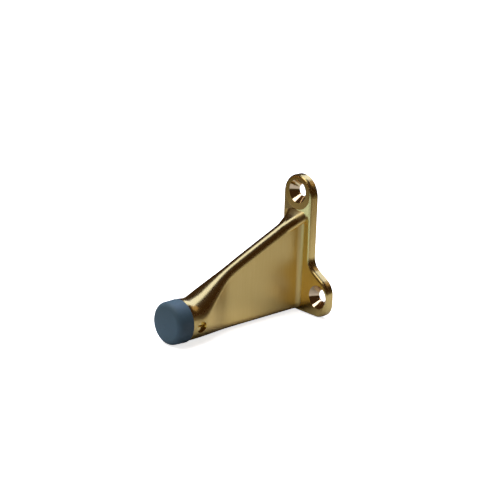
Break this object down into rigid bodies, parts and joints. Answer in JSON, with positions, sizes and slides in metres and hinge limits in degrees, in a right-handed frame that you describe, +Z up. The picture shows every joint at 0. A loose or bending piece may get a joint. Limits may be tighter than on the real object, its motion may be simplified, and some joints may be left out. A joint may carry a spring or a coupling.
{
  "type": "wall door stop",
  "caption": "Cast brass wall door stop: a countersunk wall plate with an arm that narrows from a round nose to an upright web, and a grey rubber bumper held by a set screw.",
  "frame": {"origin": "point where the bumper's axis meets the wall, on the flat back of the plate", "axes": "+Y into the wall, so the arm reaches out along -Y; +Z up, towards the plate's round head; +X towards the side with the set screw"},
  "size_m": [0.0524, 0.0953, 0.0781],
  "materials": {
    "brass": "satin, brushed",
    "rubber": "matte grey",
    "screw_brass": "bright"
  },
  "bodies": {
    "root": {"bracket": "brass", "bumper": "rubber", "set_screw": "screw_brass"}
  },
  "joints": []
}
